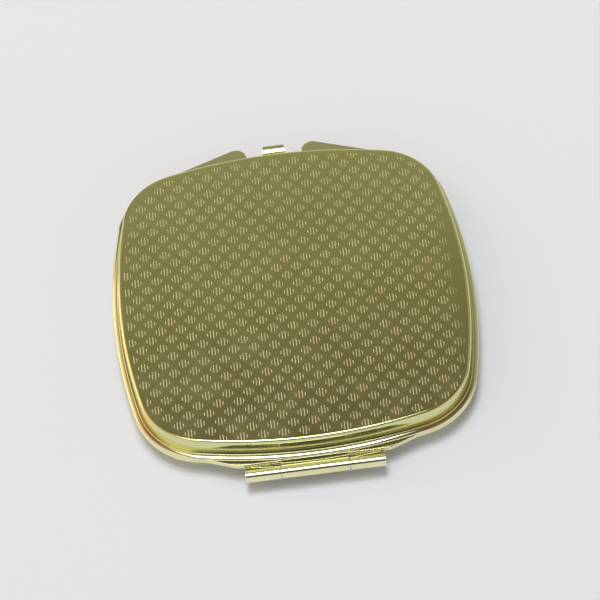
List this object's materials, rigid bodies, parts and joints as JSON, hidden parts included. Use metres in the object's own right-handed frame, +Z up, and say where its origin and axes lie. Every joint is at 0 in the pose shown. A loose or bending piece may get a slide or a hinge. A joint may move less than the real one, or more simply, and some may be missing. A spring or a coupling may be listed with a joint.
{
  "type": "powder compact",
  "caption": "Bulging square metal powder compact: engraved hinged lid with a mirror, base with a powder pan and a puff, and a spring-loaded thumb catch between two finger ears.",
  "frame": {"origin": "centre of the flat underside of the base, under the middle of the dome", "axes": "+Z up out of the lid, +Y from the hinge to the catch, +X along the hinge pin"},
  "size_m": [0.0644, 0.0709, 0.0075],
  "materials": {
    "engraved_gold": "engine-turned, satin between bright strokes",
    "polished_gold": "polished pale gold plating",
    "satin_gold": "brushed gold plating",
    "pin_steel": "drawn wire",
    "spring_steel": "tempered spring strip",
    "pan_metal": "bright stamped",
    "powder": "pressed powder, matt",
    "velour": "short pile velour",
    "satin": "woven satin",
    "ribbon": "satin ribbon",
    "mirror_glass": "silvered glass",
    "card": "grey board",
    "foam": "closed-cell foam"
  },
  "bodies": {
    "base": {"base_shell": "polished_gold", "base_frame": "polished_gold", "hinge_pin": "pin_steel", "inner_tray": "satin_gold", "pan_adhesive": "foam", "powder_pan": "pan_metal", "pressed_powder": "powder", "puff_pad": "velour", "puff_top": "satin", "puff_ribbon": "ribbon", "catch_guide": "satin_gold", "catch_spring": "spring_steel", "catch_rivets": "satin_gold"},
    "lid": {"lid_frame": "polished_gold", "lid_panel": "engraved_gold", "mirror_bezel": "polished_gold", "mirror": "mirror_glass", "mirror_card": "card", "mirror_cushion": "foam"},
    "catch": {"catch_slide": "polished_gold"}
  },
  "joints": [
    {"name": "lid_hinge", "type": "hinge", "parent": "base", "child": "lid", "pos_m": [0, -0.03433, 0.0029], "axis": [1, 0, 0], "range_deg": [0, 125]},
    {"name": "catch_press", "type": "slide", "parent": "base", "child": "catch", "axis": [0, -1, 0], "range_m": [0, 0.00075], "stiffness_N_per_m": 2500, "springref_m": -0.0002, "deforming": ["catch_spring"]}
  ]
}
